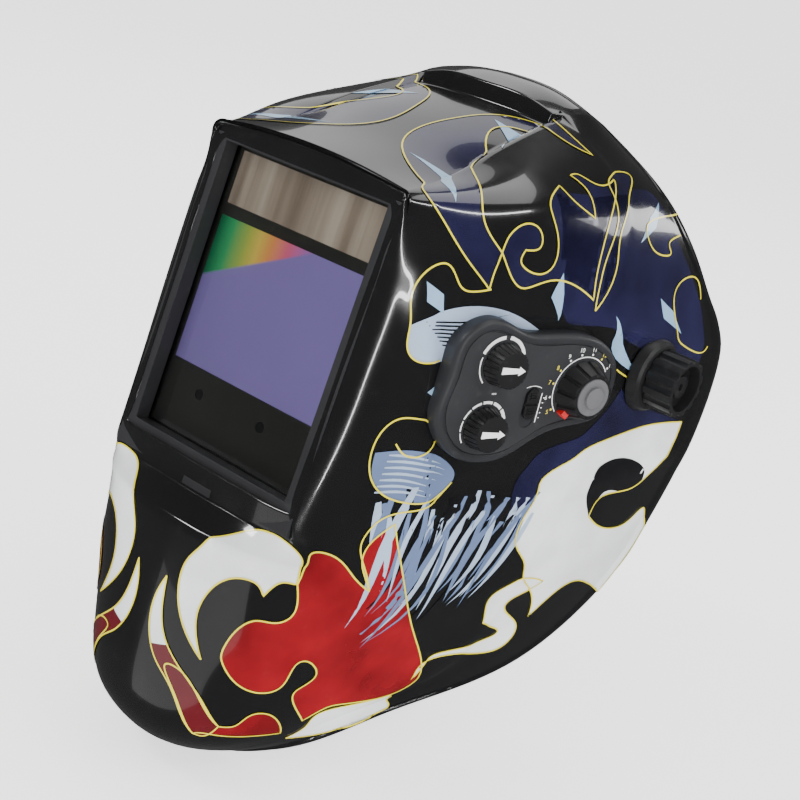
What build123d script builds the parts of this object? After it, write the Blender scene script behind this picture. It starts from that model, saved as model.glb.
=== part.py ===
from build123d import *
from math import cos, sin, pi, radians, sqrt
import os

# Welding helmet with a flip-up gloss shell, an auto-darkening filter behind a
# front frame, a control pod on the wearer's left and a ratchet headgear.
# Millimetres. Origin: middle of the tilt axis. +X wearer's left, +Y to the
# back of the head, +Z up. The helmet is drawn as worn, lowered.

# ---------------------------------------------------------------- main sizes
WALL = 2.5                    # shell wall
WINDOW_CENTRE = (0, -165, 1)
WINDOW_LEAN = 10.0            # the window's top leans back by this angle
WINDOW_W, WINDOW_H = 98.0, 133.6
FRAME_W = 112.4
FRAME_TOP, FRAME_BOTTOM = 69.8, -80.7
FRAME_T = 3.0
SHELL_FRONT_D = -3.3          # shell's front face below the frame's face
BROW_X = 57.5                 # half width of the shell's flat front
BROW_TOP = 76.0               # arch above the frame, at its middle

FILTER_W, FILTER_H, FILTER_T = 109.6, 133.0, 9.5
FILTER_FRONT = -10.5
LCD_W, LCD_BOTTOM, LCD_TOP = 96.0, -35.0, 34.5
SOLAR_W, SOLAR_BOTTOM, SOLAR_TOP = 94.0, 40.0, 65.0
SENSOR_R = 2.6
SENSOR_X, SENSOR_V = (-26.0, 14.0), -46.0

BOSS_X, BOSS_R = 112.4, 21.0  # flat boss round each pivot hole
BOSS_IN = 105.9
STUD_R, STUD_CLEAR = 6.0, 0.05
THREAD_R = 4.0
KNOB_R, KNOB_FACE = 14.5, 127.8

POD_ANGLE = 15.0              # pod face turned from the side, seen from above
POD_ORIGIN = (101.1, -78.0, -9.0)
POD_SENS, POD_DELAY = (-31.0, 18.3), (-33.0, -11.4)
POD_SHADE, POD_SWITCH = (18.8, 6.6), (-8.5, -2.1)
SMALL_KNOB_R, SMALL_KNOB_TOP_R, SMALL_KNOB_H = 10.0, 8.5, 8.0
SHADE_KNOB_R, SHADE_KNOB_TOP_R, SHADE_KNOB_H = 14.0, 10.8, 9.0
GASKET_GAP = 1.2

BAND_Z, BAND_SLOPE = 18.0, 13.3   # headband plane: height at the pivots, fall to the nape
BAND_X = 77.0                 # inside half width, head 154 wide
BAND_FRONT, BAND_STRAIGHT_0, BAND_STRAIGHT_1, BAND_REAR = -93.0, -20.0, 40.0, 98.0
NAPE_STRAIGHT = 48.0          # nape band stays straight further back, to slide 8 mm forward
BAND_T, BAND_H = 2.0, 30.0
NAPE_H = 14.0
STRAP_T, STRAP_W = 1.6, 18.0
CARRIER_X0, CARRIER_X1 = 91.0, 94.7

c10, s10 = cos(radians(WINDOW_LEAN)), sin(radians(WINDOW_LEAN))
window = Plane(origin=WINDOW_CENTRE, x_dir=(1, 0, 0), z_dir=(0, -c10, s10)).location
ca, sa = cos(radians(POD_ANGLE)), sin(radians(POD_ANGLE))
pod = Plane(origin=POD_ORIGIN, x_dir=(sa, ca, 0), z_dir=(ca, -sa, 0)).location
cb, sb = cos(radians(BAND_SLOPE)), sin(radians(BAND_SLOPE))
band = Plane(origin=(0, 0, BAND_Z), x_dir=(1, 0, 0), z_dir=(0, sb, cb)).location

parts = {}


def block(x0, x1, y0, y1, z0, z1, place=Location()):
    """Box between two corners, in a local frame."""
    mid = Pos((x0 + x1) / 2, (y0 + y1) / 2, (z0 + z1) / 2)
    return place * mid * Box(x1 - x0, y1 - y0, z1 - z0)


def rod(x, y, z0, z1, r, place=Location()):
    """Cylinder along local Z."""
    return place * Pos(x, y, (z0 + z1) / 2) * Cylinder(r, z1 - z0)


def cross_rod(x0, x1, r, y=0.0, z=0.0):
    """Cylinder along X."""
    return Pos((x0 + x1) / 2, y, z) * Rot(0, 90, 0) * Cylinder(r, abs(x1 - x0))


def slab(sketch, z0, z1, place=Location()):
    """Flat sketch thickened along local Z."""
    return place * Pos(0, 0, z0) * extrude(sketch, z1 - z0)


def side_prism(points, half):
    """Side-view polygon (y, z) carried across the helmet."""
    face = make_face(Polyline(*[(-half, y, z) for y, z in points], close=True))
    return extrude(face, 2 * half, dir=(1, 0, 0))


def inset(points, d):
    """Move every edge of a polygon inwards by d."""
    n = len(points)
    pairs = [(points[i], points[(i + 1) % n]) for i in range(n)]
    area = sum(p[0] * q[1] - q[0] * p[1] for p, q in pairs)
    turn = 1 if area > 0 else -1
    normals = []
    for i in range(n):
        (x0, y0), (x1, y1) = points[i], points[(i + 1) % n]
        size = sqrt((x1 - x0) ** 2 + (y1 - y0) ** 2)
        normals.append((-turn * (y1 - y0) / size, turn * (x1 - x0) / size))
    result = []
    for i in range(n):
        (ax, ay), (bx, by) = normals[i - 1], normals[i]
        k = d / (1 + ax * bx + ay * by)
        result.append((points[i][0] + k * (ax + bx), points[i][1] + k * (ay + by)))
    return result


# --------------------------------------------------------------------- shell
def front_y(z):
    """y of the shell's flat front at height z."""
    return WINDOW_CENTRE[1] + (z - WINDOW_CENTRE[2]) * s10 / c10 - SHELL_FRONT_D / c10


def brow(z, cheek):
    """Corner ahead of the front face, so the face ends BROW_X out and runs on to the cheek."""
    x, y = BROW_X, front_y(z)
    return x + (x - cheek[0]) / 4, y + (y - cheek[1]) / 4


# Plan sections from crown to chin: height, nose, brow, cheek, side, rear half width.
SECTIONS = [
    (118, -170, (12, -165), (15, -120), (18, -60), 20),
    (108, -170, (36, -165), (42, -120), (46, -60), 47),
    (94, -172, (56, -160), (72, -118), (80, -60), 81),
    (80, -174, (58, -152), (88, -107), (93, -40), 95),
    (72, -186, brow(72, (84, -128)), (84, -128), (97, -38), 99),
    (40, -192, brow(40, (80, -143)), (80, -143), (104, -35), 112),
    (0, -200, brow(0, (80, -143)), (80, -143), (104, -35), 116),
    (-48, -208, brow(-48, (80, -143)), (80, -143), (104, -35), 113),
    (-80, -212, brow(-80, (77, -132)), (77, -132), (99, -35), 108),
    (-92, -195, (50, -178), (75, -118), (97, -35), 106),
    (-134, -192, (38, -172), (62, -140), (89, -35), 98),
    (-175, -188, (28, -166), (56, -120), (80, -35), 92),
    (-205, -184, (16, -162), (46, -124), (72, -40), 86),
    (-232, -178, (8, -158), (34, -126), (64, -45), 80),
]


def plan_loft(depth, rear):
    """Ruled body through the plan sections, moved inwards by depth."""
    faces = []
    for z, nose, brow, cheek, side, half in SECTIONS:
        right = [brow, cheek, side, (half, rear)]
        left = [(-x, y) for x, y in reversed(right)]
        points = [(0, nose)] + right + left
        drop = depth * min(1.0, max(0.0, (z - 60) / 20))
        points = inset(points, depth) if depth else points
        faces.append(Pos(0, 0, z - drop) * make_face(Polyline(*points, close=True)))
    return loft(faces, ruled=True)


RIM = [(-4, 114.5), (8, 106), (17, 95), (5, 84), (15, 69), (39, 37), (52, 11), (54, -20), (49, -90)]
RIM += [(48, -126), (20, -150), (-17, -170), (-83, -183), (-124, -202), (-136, -224)]
outer_side = [(-148.4, 76.2), (-42, 104.6), (-41, 113.3), (-22, 117)] + RIM
outer_side += [(-150, -227), (-168, -222), (-178, -205), (-186, -150), (-188, -92), (-180, -83)]
outer_side += [(front_y(-79.5), -79.5)]
inner_side = [(front_y(73.4) + 2.6, 73.4), (-38.6, 102.0), (-38.2, 110.6), (-22, 114.2)]
inner_side += [(-4, 111.6), (95, 100)]
inner_side += [(95, -262), (-134, -262), (-134, -221.4), (-150, -224.4), (-166.6, -219.4)]
inner_side += [(-175.4, -204), (-183.3, -150), (-185.3, -94), (-178.4, -85.2)]
inner_side += [(front_y(-79.5) + 2.6, -79.5)]

shell = plan_loft(0, 85) & side_prism(outer_side, 130)
shell -= plan_loft(WALL, 120) & side_prism(inner_side, 140)
for s in (-1, 1):
    shell += cross_rod(s * 104, s * BOSS_X, BOSS_R)
    shell -= cross_rod(s * 88, s * BOSS_IN, BOSS_R - 2)
    shell -= cross_rod(s * 88, s * 120, STUD_R + STUD_CLEAR)
shell -= block(-52.9, 52.9, -70.3, 68.3, -9, 0, window)

# -------------------------------------------------------------- window stack
frame = block(-FRAME_W / 2, FRAME_W / 2, FRAME_BOTTOM, FRAME_TOP, -FRAME_T, 0, window)
frame += block(-52.6, 52.6, -70.0, 68.0, -8.0, -FRAME_T, window)
frame -= block(-WINDOW_W / 2, WINDOW_W / 2, -WINDOW_H / 2, WINDOW_H / 2, -10, 1, window)
frame -= block(-9.3, 9.3, -82.0, -75.4, -2.0, 1, window)
parts["front_frame"] = frame
parts["frame_latch"] = block(-9.0, 9.0, -82.6, -75.7, -1.9, 0.8, window)

arch_foot = Polyline((55.6, 72.6), (55.6, 70.2), (-55.6, 70.2), (-55.6, 72.6))
arch = make_face(arch_foot + ThreePointArc((-55.6, 72.6), (0, BROW_TOP), (55.6, 72.6)))
parts["brow_trim"] = slab(arch, -3.2, -2.0, window)
parts["cover_lens"] = block(-52.6, 52.6, -69.9, 67.9, -9.4, -8.4, window)

tray = block(-55.3, 55.3, -73.0, 70.2, -10.3, -6.3, window)
tray -= block(-53.0, 53.0, -70.3, 68.3, -11, -6, window)
ring = block(-57.6, 57.6, -70.0, 70.2, -22.0, -10.3, window)
ring -= block(-55.2, 55.2, -66.9, 66.9, -23, -10, window)
tray += ring
tray += block(-55.3, 55.3, -70.3, -68.8, -10.3, -9.6, window)
for s in (-1, 1):
    x0, x1 = sorted((s * 55.4, s * 57.6))
    tray += block(x0, x1, 60.0, 68.0, -26.0, -22.0, window)
    hole = window * Pos(s * 56.5, 64.0, -24.0) * Rot(0, 90, 0) * Cylinder(1.55, 4)
    tray -= hole
    b0, b1 = sorted((s * 22.0, s * 50.0))
    tray -= block(b0, b1, -71.0, -66.0, -19.2, -12.6, window)
tray -= window * Pos(56.0, -12.0, -17.9) * Rot(0, 90, 0) * Cylinder(2.2, 6)

fx, fv = FILTER_W / 2, FILTER_H / 2
housing = block(-fx, fx, -fv, fv, FILTER_FRONT - FILTER_T, FILTER_FRONT, window)
housing -= block(-LCD_W / 2, LCD_W / 2, LCD_BOTTOM, LCD_TOP, -21, -10, window)
housing -= block(-51.2, 51.2, LCD_BOTTOM - 3.2, LCD_TOP + 3.2, -21, -18.4, window)
housing -= block(-SOLAR_W / 2, SOLAR_W / 2, SOLAR_BOTTOM, SOLAR_TOP, -11.8, -10, window)
for x in SENSOR_X:
    housing -= rod(x, SENSOR_V, -12.6, -10, SENSOR_R + 0.1, window)
for s in (-1, 1):
    b0, b1 = sorted((s * 22.3, s * 49.7))
    housing -= block(b0, b1, -67.0, -40.0, -19.0, -13.0, window)
parts["filter_housing"] = housing
parts["lcd_filter"] = block(-47.8, 47.8, LCD_BOTTOM + 0.2, LCD_TOP - 0.2, -15.0, -11.0, window)
parts["solar_panel"] = block(-46.8, 46.8, SOLAR_BOTTOM + 0.2, SOLAR_TOP - 0.2, -11.75, -10.7, window)
for i, x in enumerate(SENSOR_X):
    parts[f"arc_sensor_{i + 1}"] = rod(x, SENSOR_V, -12.55, -10.8, SENSOR_R, window)
parts["inner_lens"] = block(-50.9, 50.9, LCD_BOTTOM - 2.9, LCD_TOP + 2.9, -19.7, -18.7, window)

for s, name in ((-1, "right"), (1, "left")):
    b0, b1 = sorted((s * 22.5, s * 49.5))
    drawer = block(b0, b1, -66.3, -40.3, -18.8, -13.2, window)
    drawer -= rod(s * 36, -53.0, -18.2, -13, 12.5, window)
    parts[f"battery_tray_{name}"] = drawer
    parts[f"coin_cell_{name}"] = rod(s * 36, -53.0, -18.15, -13.4, 12.2, window)

bail = block(-52.5, 52.5, -58.0, 62.0, -24.7, -23.3, window)
bail -= block(-48.5, 48.5, -54.0, 58.0, -26, -22, window)
bail += window * Pos(0, 64.0, -24.0) * Rot(0, 90, 0) * Cylinder(1.5, 114.0)
bail += block(-52.5, 52.5, 60.0, 64.0, -24.7, -23.3, window)
parts["filter_bail"] = bail

# --------------------------------------------------------------- control pod
POD_OUTLINE = [(-42, 37.6), (-28, 35.5), (-14, 32), (10, 32.6), (28, 28.6), (38, 20), (41, 8)]
POD_OUTLINE += [(36, -7), (19, -12), (2, -17), (-13, -26), (-28, -29), (-43, -26), (-55, -16), (-59.5, -3), (-57, 13), (-55, 28)]

def lobe(d):
    """Pod outline moved inwards by d."""
    return make_face(Spline(*inset(POD_OUTLINE, d), periodic=True))


outline = lobe(0)


# Half space outside the flat side pocket of the shell that the pod sits on.
pocket = Plane(origin=(80, -143, 0), x_dir=(24, 108, 0), z_dir=(108, -24, 0)).location


def outside(d):
    """Everything further out than d above the pocket."""
    return block(-30, 160, -90, 90, d, d + 60, pocket)


shell -= slab(lobe(9.5), -30, 4, pod)
pod_body = slab(outline, -20, 0.9, pod) & outside(GASKET_GAP)
pod_body -= slab(lobe(4.2), 0, 3, pod)
pod_body -= slab(lobe(4.0), -21, -2.2, pod)
SCREWS = [(-50.5, -12), (-46, 29), (-24, -23), (33.5, 12)]
for u, v in SCREWS:
    pod_body += rod(u, v, -20, -1.5, 3.2, pod) & outside(GASKET_GAP)
for u, v in SCREWS:
    pod_body -= rod(u, v, -20, -1.4, 1.3, pod)
    shell -= rod(u, v, -25, 2, 1.7, pod)
KNOBS = {"sensitivity": POD_SENS, "delay": POD_DELAY, "shade": POD_SHADE}
for u, v in KNOBS.values():
    pod_body -= rod(u, v, -4, 1, 3.05, pod)
su, sv = POD_SWITCH
slot = Pos(su, sv, 0) * SlotOverall(18.6, 7.6, rotation=90)
pod_body -= slab(slot, -4, 2, pod)
parts["pod_housing"] = pod_body

seal = slab(lobe(0.8) - lobe(3.6), -20, 2, pod) & (outside(0.3) - outside(0.9))
parts["pod_gasket"] = seal

label = lobe(4.6)
for name, (u, v) in KNOBS.items():
    label -= Pos(u, v, 0) * Circle(3.4)
label -= Pos(su, sv, 0) * SlotOverall(19.2, 8.2, rotation=90)
parts["pod_label"] = slab(label, 0.02, 0.32, pod)

inner_face = outside(-WALL - 0.2)
cover = (slab(lobe(1.5), -30, 0, pod) - inner_face) & outside(-WALL - 2.2)
cover += slab(lobe(10.0), -13.4, -2, pod) - inner_face
cover -= slab(lobe(11.4), -12.0, 2, pod)
for u, v in SCREWS:
    cover -= rod(u, v, -25, 2, 1.7, pod)
cover -= Pos(77.0, -123, -11.2) * Rot(90, 0, 0) * Cylinder(2.0, 12)
parts["pod_inner_cover"] = cover
board = slab(lobe(13.0), -10.4, -8.9, pod)
parts["control_board"] = board


def depth_below(u, d):
    """Local height of a plane d above the pocket, at the pod's u."""
    x = POD_ORIGIN[0] + u * sa
    y = POD_ORIGIN[1] + u * ca
    gap = ((x - 80) * 108 - (y + 143) * 24) / sqrt(108 ** 2 + 24 ** 2)
    return (d - gap) / cos(radians(POD_ANGLE) - 0.2187)


for i, (u, v) in enumerate(SCREWS):
    seat = depth_below(u, -WALL - 2.2) - 0.25
    parts[f"pod_screw_{i + 1}"] = rod(u, v, seat - 1.8, seat, 2.8, pod) + rod(u, v, seat, -2.0, 1.25, pod)

for name, (u, v) in KNOBS.items():
    pot = block(u - 4, u + 4, v - 4, v + 4, -8.85, -4.6, pod)
    pot += rod(u, v, -4.6, -3.4, 3.6, pod)
    parts[f"{name}_dial"] = pot


def ribbed(r, r_top, height, count, depth):
    """Tapered knob with straight grooves, standing on local z = 0."""
    body = loft([Circle(r), Pos(0, 0, height) * Circle(r_top)])
    groove = loft([Pos(r, 0) * Circle(depth), Pos(r_top, 0, height) * Circle(depth)])
    cuts = [Rot(0, 0, 360 * i / count) * groove for i in range(count)]
    return body - cuts


for name in ("sensitivity", "delay"):
    u, v = KNOBS[name]
    place = pod * Pos(u, v, 0.6)
    knob = place * ribbed(SMALL_KNOB_R, SMALL_KNOB_TOP_R, SMALL_KNOB_H, 24, 0.45)
    knob += rod(u, v, -3.35, 0.7, 3.0, pod)
    parts[f"{name}_knob"] = knob
    edge = [(6.8, 0), (3.2, 2.1), (3.2, 1.1), (-6.2, 1.6), (-6.2, -1.6), (3.2, -1.1), (3.2, -2.1)]
    arrow = make_face(Polyline(*edge, close=True))
    parts[f"{name}_arrow"] = slab(Pos(u, v, 0) * arrow, SMALL_KNOB_H + 0.62, SMALL_KNOB_H + 0.9, pod)

u, v = POD_SHADE
place = pod * Pos(u, v, 0.6)
knob = place * ribbed(SHADE_KNOB_R, SHADE_KNOB_TOP_R, SHADE_KNOB_H, 12, 1.1)
knob += rod(u, v, -3.35, 0.7, 3.0, pod)
knob -= rod(u, v, SHADE_KNOB_H - 1.4, SHADE_KNOB_H + 2, 8.9, pod)
knob -= place * Rot(0, 0, 232) * Pos(SHADE_KNOB_R - 1.5, 0, 1.8) * Box(5.0, 4.2, 4.0)
parts["shade_knob"] = knob
cap = rod(u, v, SHADE_KNOB_H - 1.38, SHADE_KNOB_H + 1.2, 8.8, pod)
cap += rod(u, v, SHADE_KNOB_H + 1.2, SHADE_KNOB_H + 2.4, 5.0, pod)
parts["shade_cap"] = cap
parts["shade_pointer"] = place * Rot(0, 0, 232) * Pos(SHADE_KNOB_R - 1.2, 0, 1.8) * Box(4.2, 3.9, 3.5)

button = slab(Pos(su, sv + 1.9, 0) * SlotOverall(14.4, 7.0, rotation=90), -2.0, 1.5, pod)
button -= block(su - 4, su + 4, sv + 1.2, sv + 2.6, 0.7, 2, pod)
button += block(su - 1.5, su + 1.5, sv + 0.4, sv + 3.4, -5.2, -2.0, pod)
parts["range_switch"] = button
base = block(su - 4.2, su + 4.2, sv - 7.5, sv + 7.5, -8.85, -3.0, pod)
base -= block(su - 2, su + 2, sv - 4.5, sv + 4.5, -5.6, -2, pod)
parts["range_switch_base"] = base

# cable from the side of the filter, round the cheek, to the pod
bends = [(55.2, -149.5, -13.9), (68.0, -145.0, -12.8), (77.0, -122.0, -11.2)]
lead = Spline(*bends, tangents=[(1, 0, 0), (0.2, 1, 0)])
parts["filter_cable"] = sweep(Plane(origin=(55.2, -149.5, -13.9), z_dir=(1, 0, 0)) * Circle(1.5), lead)

# -------------------------------------------------- pivots and tension knobs
def tension_knob():
    """Hollow fluted knob, its mouth facing local +Z; local z = 0 is the tilt axis middle."""
    base = BOSS_X + 0.3
    middle = (base + KNOB_FACE) / 2
    body = Pos(0, 0, middle) * Cylinder(KNOB_R, KNOB_FACE - base)
    flutes = [Rot(0, 0, 30 * i) * Pos(KNOB_R + 1.2, 0, middle) * Cylinder(2.6, 30) for i in range(12)]
    body -= flutes
    body -= rod(0, 0, base + 9.5, KNOB_FACE + 1, 11.6)
    body += rod(0, 0, base + 9.0, KNOB_FACE - 3.0, 5.6)
    body -= rod(0, 0, base - 1, base + 10.6, THREAD_R + 0.1)
    body -= rod(0, 0, base + 10, KNOB_FACE, 1.8)
    return body


for s, name in ((-1, "right"), (1, "left")):
    turn = Rot(0, 90 * s, 0)
    parts[f"tension_knob_{name}"] = turn * tension_knob()
    stud = rod(0, 0, 98.1, 99.9, 10.0) + rod(0, 0, 99.9, BOSS_X + 0.1, STUD_R)
    stud += rod(0, 0, BOSS_X, 123.0, THREAD_R)
    parts[f"pivot_stud_{name}"] = turn * stud
    plate = rod(0, 0, 100.0, 102.2, 17.0) - rod(0, 0, 99, 103, STUD_R + 0.05)
    plate -= [rod(14 * cos(radians(a)), 14 * sin(radians(a)), 99, 103, 1.6) for a in range(20, 361, 40)]
    parts[f"stop_plate_{name}"] = turn * plate
    washer = rod(0, 0, 102.5, 105.6, 12.5) - rod(0, 0, 100, 110, STUD_R + 0.3)
    parts[f"friction_washer_{name}"] = turn * washer
    plate_x = sorted((s * 95.0, s * 98.0))
    slider = block(*plate_x, -15, 15, -11, 11)
    tongue = sorted((s * 89.0, s * 95.2))
    slider += block(*tongue, -9, 9, -3.9, 3.9)
    head = sorted((s * 88.0, s * 90.7))
    slider += block(*head, -11, 11, -7, 7)
    parts[f"pivot_slider_{name}"] = slider
    px = sorted((s * CARRIER_X0, s * CARRIER_X1))
    arm = block(*px, -31, 42, -12, 12) - block(*px, -20, 20, -4.0, 4.0)
    for y, face in ((-28.0, CARRIER_X1 - 1.4), (39.0, CARRIER_X1)):
        z = BAND_Z - y * sb / cb + 8.5
        post = sorted((s * CARRIER_X0, s * face))
        lug = sorted((s * (BAND_X + BAND_T + 0.05), s * face))
        arm += block(*post, y - 3, y + 3, 0, z + 5)
        arm += block(*lug, y - 3, y + 3, z - 5, z + 5)
    parts[f"side_carrier_{name}"] = arm

# ------------------------------------------------------------------ headgear
def head_loop(grow, straight=BAND_STRAIGHT_1):
    """Plan of the headband: sides straight back to y = straight, half ellipses front and rear."""
    x = BAND_X + grow
    mid = (BAND_STRAIGHT_0 + straight) / 2
    loop = Pos(0, mid) * Rectangle(2 * x, straight - BAND_STRAIGHT_0)
    loop += Pos(0, BAND_STRAIGHT_0) * Ellipse(x, BAND_STRAIGHT_0 - BAND_FRONT + grow)
    loop += Pos(0, straight) * Ellipse(x, BAND_REAR - straight + grow)
    return loop


front_half = block(-120, 120, -130, 46, -40, 40)
headband = slab(head_loop(BAND_T) - head_loop(0), -BAND_H / 2, BAND_H / 2) & front_half
PEGS = [-16.0, 26.0]
for s in (-1, 1):
    for y in PEGS:
        headband -= cross_rod(s * 70, s * 85, 2.1, y, 8.0)
headband -= [block(x - 5, x + 5, -110, -60, -9, 9) for x in (-36, -18, 0, 18, 36)]
parts["headband"] = band * headband

brow_pad = slab(head_loop(-0.3) - head_loop(-6.3), -13, 13) & block(-66, 66, -130, -48, -20, 20)
parts["sweatband"] = band * brow_pad

rear_half = block(-120, 120, 8, 130, -40, 40)
nape_loop = head_loop(BAND_T + 2.0, NAPE_STRAIGHT) - head_loop(BAND_T + 0.4, NAPE_STRAIGHT)
nape = slab(nape_loop, -13, 1) & rear_half
for s in (-1, 1):
    for i in range(9):
        nape -= cross_rod(s * 70, s * 90, 1.4, 12 + 5 * i, -6.0)
parts["nape_band"] = band * nape
pad_loop = head_loop(BAND_T + 0.1, NAPE_STRAIGHT) - head_loop(-5.0, NAPE_STRAIGHT)
pad = slab(pad_loop, -14, 8) & block(-30, 30, 60, 130, -30, 30)
parts["nape_pad"] = band * pad
case_y0, case_y1 = 102.3, 115.0
case = block(-32, 32, case_y0, case_y1, -16, 10)
case = fillet(case.edges().filter_by(Axis.Y), 9)
case -= block(-26, 26, case_y0 - 1, case_y1 - 2.4, -12, 6)
case -= Pos(0, case_y1, -3) * Rot(90, 0, 0) * Cylinder(4.05, 10)
case -= [block(s * 32.5 - 8, s * 32.5 + 8, case_y0 - 1, case_y0 + 1.0, -13.5, 1.5) for s in (-1, 1)]
parts["ratchet_case"] = band * case
pinion = RegularPolygon(4.6, 10)
gear = Pos(0, case_y0 + 1.2, -3) * Rot(-90, 0, 0) * extrude(pinion, 6.0)
gear += Pos(0, case_y0 + 6.0, -3) * Rot(-90, 0, 0) * extrude(Circle(4.0), 10.0)
parts["ratchet_pinion"] = band * gear
grips = [Rot(0, 0, 24 * i) * Pos(20.2, 0, 5) * Cylinder(2.2, 20) for i in range(15)]
dial = extrude(Circle(19.0), 9.0) - grips
dial -= Cylinder(4.05, 40)
parts["ratchet_knob"] = band * Pos(0, case_y1 + 0.4, -3) * Rot(-90, 0, 0) * dial


def crown_strap(y, top):
    """Strap arching over the head from one side of the band to the other."""
    x = BAND_X - 0.4
    z_end = BAND_Z - y * sb / cb
    rise = top - z_end - 8
    outer = Pos(0, z_end + 8) * Ellipse(x, rise) + Pos(0, z_end) * Rectangle(2 * x, 16)
    inner = Pos(0, z_end + 8) * Ellipse(x - STRAP_T, rise - STRAP_T)
    inner += Pos(0, z_end - 12) * Rectangle(2 * (x - STRAP_T), 40)
    ring = outer - inner - Pos(0, z_end - 108) * Rectangle(300, 200)
    strap = extrude(Plane.XZ.offset(-y - STRAP_W / 2) * ring, STRAP_W)
    for s in (-1, 1):
        peg = cross_rod(s * 75.2, s * 79.2, 1.95, y, 8.0) + cross_rod(s * 79.15, s * 80.6, 4.0, y, 8.0)
        strap += band * peg
    return strap


for name, y, top in (("front", PEGS[0], 98.0), ("rear", PEGS[1], 92.0)):
    parts[f"crown_strap_{name}"] = crown_strap(y, top)

# ------------------------------------------------------------------- results
parts["shell"] = shell
parts["filter_tray"] = tray

os.makedirs("parts", exist_ok=True)
for name, solid in parts.items():
    export_step(solid, f"parts/{name}.step")
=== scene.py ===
import math
import random

import bpy
import numpy as np
from mathutils import Matrix, Vector
from mathutils.bvhtree import BVHTree
from mathutils.geometry import delaunay_2d_cdt


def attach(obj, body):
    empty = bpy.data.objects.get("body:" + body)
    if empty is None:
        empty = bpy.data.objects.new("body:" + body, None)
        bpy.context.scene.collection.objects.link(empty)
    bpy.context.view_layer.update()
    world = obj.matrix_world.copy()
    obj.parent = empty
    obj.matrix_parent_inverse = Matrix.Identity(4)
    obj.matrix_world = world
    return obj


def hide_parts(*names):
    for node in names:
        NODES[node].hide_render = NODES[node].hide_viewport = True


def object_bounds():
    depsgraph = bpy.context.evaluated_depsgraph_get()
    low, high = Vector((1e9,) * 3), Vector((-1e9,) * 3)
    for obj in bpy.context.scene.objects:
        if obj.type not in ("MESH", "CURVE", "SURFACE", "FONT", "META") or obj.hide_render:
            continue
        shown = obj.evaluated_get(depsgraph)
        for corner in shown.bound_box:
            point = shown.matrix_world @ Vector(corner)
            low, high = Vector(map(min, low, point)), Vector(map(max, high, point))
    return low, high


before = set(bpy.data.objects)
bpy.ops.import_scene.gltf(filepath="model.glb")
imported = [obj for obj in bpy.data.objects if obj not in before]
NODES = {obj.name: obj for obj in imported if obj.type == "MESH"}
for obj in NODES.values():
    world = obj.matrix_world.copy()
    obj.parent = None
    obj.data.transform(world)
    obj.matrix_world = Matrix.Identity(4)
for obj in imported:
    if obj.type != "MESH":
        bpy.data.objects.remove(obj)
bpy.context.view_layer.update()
random.seed(11)
MM = 0.001

LEAN = math.radians(10)              # the window's top leans back by this angle
WINDOW_Y, WINDOW_Z = -165.0, 1.0     # the window's middle
POD_TURN = math.radians(15)          # the pod's face turns forwards by this angle
LAST_SPOKE = 15
WALL = 2.5                           # the shell's thickness
BOSS_IN, BOSS_FACE = 105.9, 112.4    # inner and outer end of the pivot bosses
MIDDLE = np.array([0, -30.0, -30.0])
MIRROR = np.array([-1, 1, 1.0])
PRINT_HEIGHT = 0.36                  # printed marks over the pod's face
STRIPE_WIDTH = 0.8

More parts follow.
